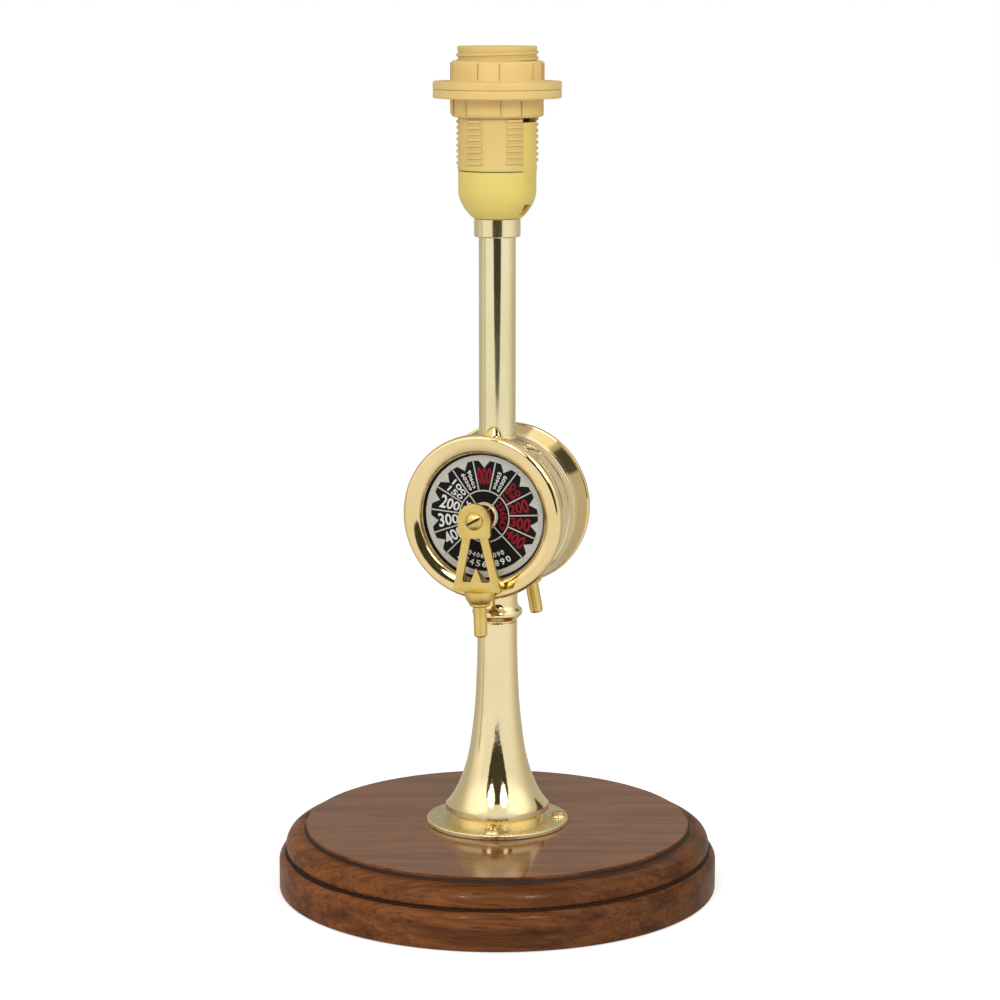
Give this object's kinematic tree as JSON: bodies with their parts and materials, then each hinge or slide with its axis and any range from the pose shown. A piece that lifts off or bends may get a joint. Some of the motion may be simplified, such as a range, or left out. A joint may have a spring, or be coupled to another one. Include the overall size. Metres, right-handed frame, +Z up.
{
  "type": "table lamp base",
  "caption": "Brass table lamp base shaped as a ship engine telegraph: drum head with a dial on each face, swinging pointer handles, round wooden foot, E14 lampholder with shade rings.",
  "frame": {"origin": "on the table under the middle of the foot", "axes": "+Z up along the stem; the front dial faces -Y; +X to the right of someone facing the front dial"},
  "size_m": [0.155, 0.155, 0.2952],
  "materials": {
    "wood": "satin lacquered reddish hardwood",
    "felt": "dark felt",
    "polished_brass": "mirror polished, lacquered",
    "satin_brass": "fine turned satin",
    "cast_brass": "sand cast, lightly polished",
    "zinc_steel": "zinc plated",
    "dial_print": "printed: black, silver, white and dark red",
    "cream_plastic": "moulded thermoset, cream orange",
    "yellow_plastic": "moulded, slightly yellower cream",
    "white_ceramic": "moulded insert",
    "contact_brass": "bare stamped sheet"
  },
  "bodies": {
    "lamp": {"wood_base": "wood", "felt_pad": "felt", "foot_flange": "polished_brass", "flange_screws": "polished_brass", "foot_washer": "zinc_steel", "foot_nut": "zinc_steel", "foot_pipe": "zinc_steel", "pedestal_column": "polished_brass", "neck_collar": "polished_brass", "drum_body": "polished_brass", "drum_plug": "polished_brass", "drum_nut": "zinc_steel", "front_bezel": "polished_brass", "rear_bezel": "polished_brass", "front_dial": "dial_print", "rear_dial": "dial_print", "front_boss": "polished_brass", "rear_boss": "polished_brass", "front_boss_nut": "zinc_steel", "rear_boss_nut": "zinc_steel", "front_washer": "cast_brass", "rear_washer": "cast_brass", "front_hub_screw": "cast_brass", "rear_hub_screw": "cast_brass", "stem_tube": "polished_brass", "stem_pipe": "zinc_steel", "stem_nut": "zinc_steel", "stem_collar": "satin_brass", "holder_cap": "yellow_plastic", "holder_barrel": "cream_plastic", "contact_carrier": "white_ceramic", "terminal_screws": "zinc_steel", "screw_shell": "contact_brass", "centre_contact": "contact_brass"},
    "front_handle_set": {"front_handle": "cast_brass", "front_grip": "cast_brass"},
    "rear_handle_set": {"rear_handle": "cast_brass", "rear_grip": "cast_brass"},
    "upper_ring": {"shade_ring_upper": "cream_plastic"},
    "lower_ring": {"shade_ring_lower": "cream_plastic"}
  },
  "joints": [
    {"name": "front_handle_turn", "type": "hinge", "parent": "lamp", "child": "front_handle_set", "pos_m": [0, -0.0237, 0.1352], "axis": [0, -1, 0], "continuous": true},
    {"name": "rear_handle_turn", "type": "hinge", "parent": "lamp", "child": "rear_handle_set", "pos_m": [0, 0.0237, 0.1352], "axis": [0, 1, 0], "continuous": true},
    {"name": "upper_ring_turn", "type": "hinge", "parent": "lamp", "child": "upper_ring", "pos_m": [0, 0, 0.2835], "axis": [0, 0, 1], "continuous": true},
    {"name": "lower_ring_turn", "type": "hinge", "parent": "lamp", "child": "lower_ring", "pos_m": [0, 0, 0.2775], "axis": [0, 0, 1], "continuous": true}
  ]
}
